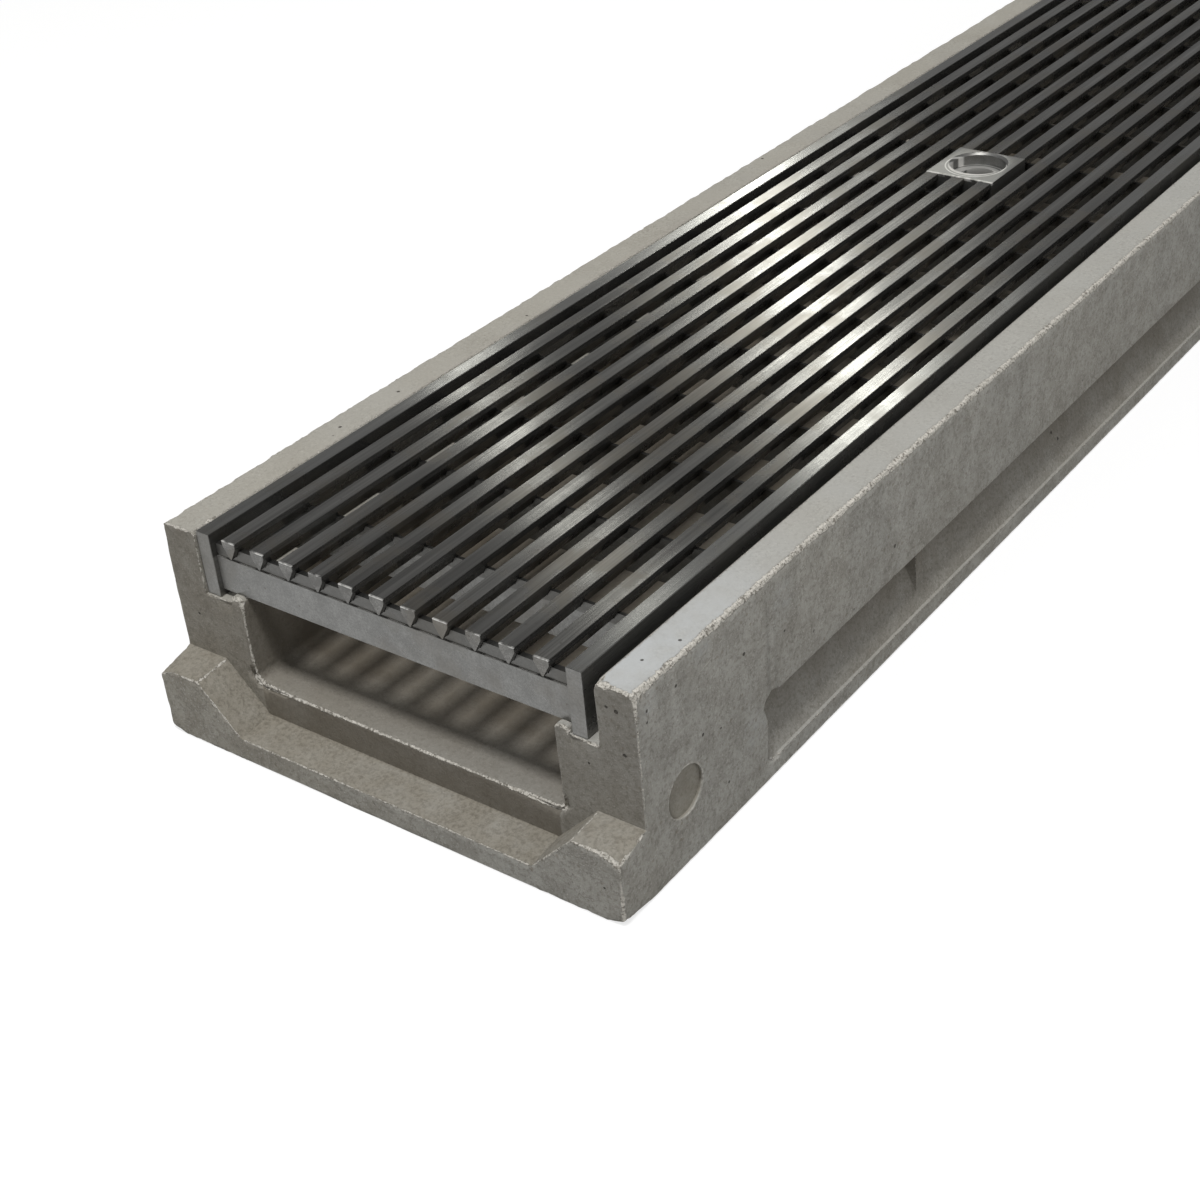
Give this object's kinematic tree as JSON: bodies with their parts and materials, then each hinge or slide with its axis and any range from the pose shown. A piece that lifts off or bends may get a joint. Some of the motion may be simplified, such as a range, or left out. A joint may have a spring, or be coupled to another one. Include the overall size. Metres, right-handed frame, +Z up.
{
  "type": "trench drain channel with grate",
  "caption": "Shallow precast trench drain channel with tongue and groove ends and a welded stainless wedge bar grate resting in its rebate.",
  "frame": {"origin": "on the underside, below the middle of the whole part", "axes": "+X across the channel, +Y along it from the tongue end to the groove end, +Z up"},
  "size_m": [0.15, 0.621, 0.0594],
  "materials": {
    "concrete": "cast polymer concrete, matt, with fine pores and chipped arrises",
    "bar_steel": "drawn wedge bar, brushed along its length",
    "frame_steel": "mill finish flat bar, pickled",
    "bolt_plate_steel": "machined"
  },
  "bodies": {
    "root": {"bolt_plate": "bolt_plate_steel", "channel_body": "concrete", "cross_plate_01": "frame_steel", "cross_plate_02": "frame_steel", "cross_plate_03": "frame_steel", "cross_plate_04": "frame_steel", "cross_plate_05": "frame_steel", "cross_plate_06": "frame_steel", "cross_plate_07": "frame_steel", "cross_plate_08": "frame_steel", "cross_plate_09": "frame_steel", "cross_plate_10": "frame_steel", "cross_plate_11": "frame_steel", "cross_plate_12": "frame_steel", "cross_plate_13": "frame_steel", "cross_plate_14": "frame_steel", "cross_plate_15": "frame_steel", "cross_plate_16": "frame_steel", "cross_plate_17": "frame_steel", "cross_plate_18": "frame_steel", "end_plate_front": "frame_steel", "end_plate_rear": "frame_steel", "side_bar_left": "frame_steel", "side_bar_right": "frame_steel", "wedge_bar_01": "bar_steel", "wedge_bar_02": "bar_steel", "wedge_bar_03": "bar_steel", "wedge_bar_04": "bar_steel", "wedge_bar_05_front": "bar_steel", "wedge_bar_05_rear": "bar_steel", "wedge_bar_06_front": "bar_steel", "wedge_bar_06_rear": "bar_steel", "wedge_bar_07_front": "bar_steel", "wedge_bar_07_rear": "bar_steel", "wedge_bar_08": "bar_steel", "wedge_bar_09": "bar_steel", "wedge_bar_10": "bar_steel", "wedge_bar_11": "bar_steel"}
  },
  "joints": []
}
